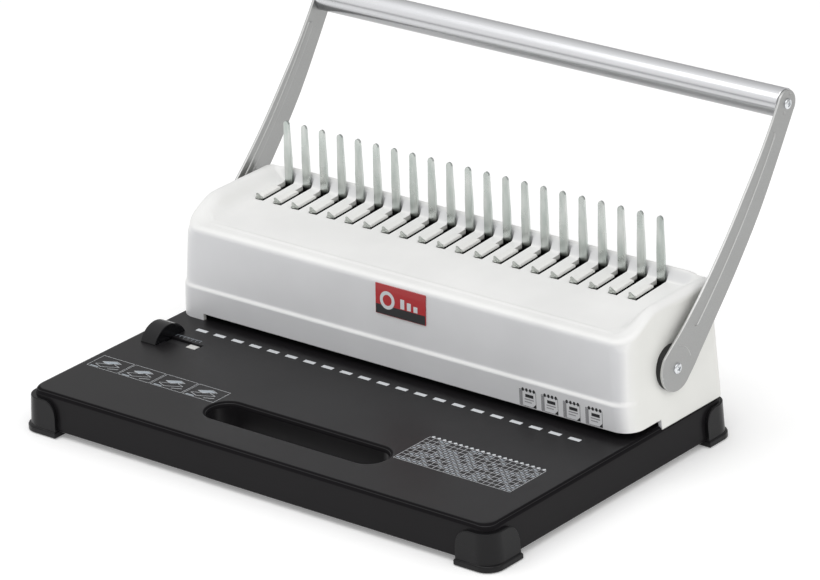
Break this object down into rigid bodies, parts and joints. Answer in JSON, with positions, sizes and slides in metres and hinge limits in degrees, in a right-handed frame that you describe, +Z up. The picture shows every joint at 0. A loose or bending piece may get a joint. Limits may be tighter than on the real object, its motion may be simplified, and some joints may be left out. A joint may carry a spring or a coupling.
{
  "type": "comb binding machine",
  "caption": "Manual desktop comb binder: sheet punch with paper throat, plastic comb opener, swing handle with tubular bar, edge guide, grip hole and chip tray.",
  "frame": {"origin": "centre of the footprint on the floor, handle resting back", "axes": "+X right along the punch line, +Y to the back, +Z up"},
  "size_m": [0.36, 0.2962, 0.1922],
  "materials": {
    "base_plastic": "satin black moulded plastic",
    "foot_plastic": "matt black moulded plastic",
    "pad_rubber": "black rubber",
    "dark_plastic": "fine-grained black plastic",
    "cover_plastic": "satin white moulded plastic",
    "badge_plastic": "glossy red and black label",
    "collar_plastic": "matt black plastic",
    "guide_plastic": "glossy black plastic",
    "index_plastic": "pale grey plastic",
    "plain_steel": "plain cold-rolled steel",
    "dark_steel": "oiled tool steel",
    "zinc_steel": "zinc-plated steel with streaks",
    "screw_steel": "bright plated screws",
    "arm_paint": "silver-grey powder paint",
    "bar_aluminium": "satin anodised aluminium"
  },
  "bodies": {
    "base": {"base_tray": "base_plastic", "bottom_plate": "dark_plastic", "foot_front_left": "foot_plastic", "foot_front_right": "foot_plastic", "foot_rear_left": "foot_plastic", "foot_rear_right": "foot_plastic", "foot_pads": "pad_rubber", "bottom_screws": "screw_steel", "cover": "cover_plastic", "badge": "badge_plastic", "collar_left": "collar_plastic", "collar_right": "collar_plastic", "frame_left": "plain_steel", "frame_right": "plain_steel", "frame_screws": "screw_steel", "deck": "plain_steel", "lower_die": "dark_steel", "paper_stop": "plain_steel", "upper_guide": "plain_steel", "finger_rack": "zinc_steel", "rack_screws": "screw_steel", "spring_left": "plain_steel", "spring_right": "plain_steel"},
    "handle": {"shaft": "plain_steel", "punch_cams": "dark_steel", "yoke_cams": "dark_steel", "arm_left": "arm_paint", "arm_right": "arm_paint", "handle_bar": "bar_aluminium", "bar_plugs": "dark_plastic", "handle_screws": "screw_steel"},
    "punch": {"punch_bar": "plain_steel", "punch_pins": "dark_steel"},
    "carriage": {"carriage": "plain_steel", "hooks": "zinc_steel", "hook_blocks": "cover_plastic"},
    "tray": {"chip_tray": "dark_plastic"},
    "guide": {"guide_block": "guide_plastic", "guide_slider": "dark_plastic", "guide_index": "index_plastic", "guide_screw": "screw_steel"}
  },
  "joints": [
    {"name": "handle_swing", "type": "hinge", "parent": "base", "child": "handle", "pos_m": [0, 0.0265, 0.0592], "axis": [1, 0, 0], "range_deg": [0, 105]},
    {"name": "punch_slide", "type": "slide", "parent": "base", "child": "punch", "axis": [0, 0, -1], "range_m": [0, 0.0091], "stiffness_N_per_m": 2000, "springref_m": -0.004, "deforming": ["spring_left", "spring_right"]},
    {"name": "hook_slide", "type": "slide", "parent": "base", "child": "carriage", "axis": [0, 1, 0], "range_m": [0, 0.0086]},
    {"name": "tray_slide", "type": "slide", "parent": "base", "child": "tray", "axis": [0, 1, 0], "range_m": [0, 0.078]},
    {"name": "guide_slide", "type": "slide", "parent": "base", "child": "guide", "axis": [1, 0, 0], "range_m": [-0.0058, 0.0028]}
  ],
  "couplings": [
    {"joint": "punch_slide", "follows": "handle_swing", "m_per_rad": 0.0049111},
    {"joint": "hook_slide", "follows": "handle_swing", "m_per_rad": 0.0046382}
  ]
}
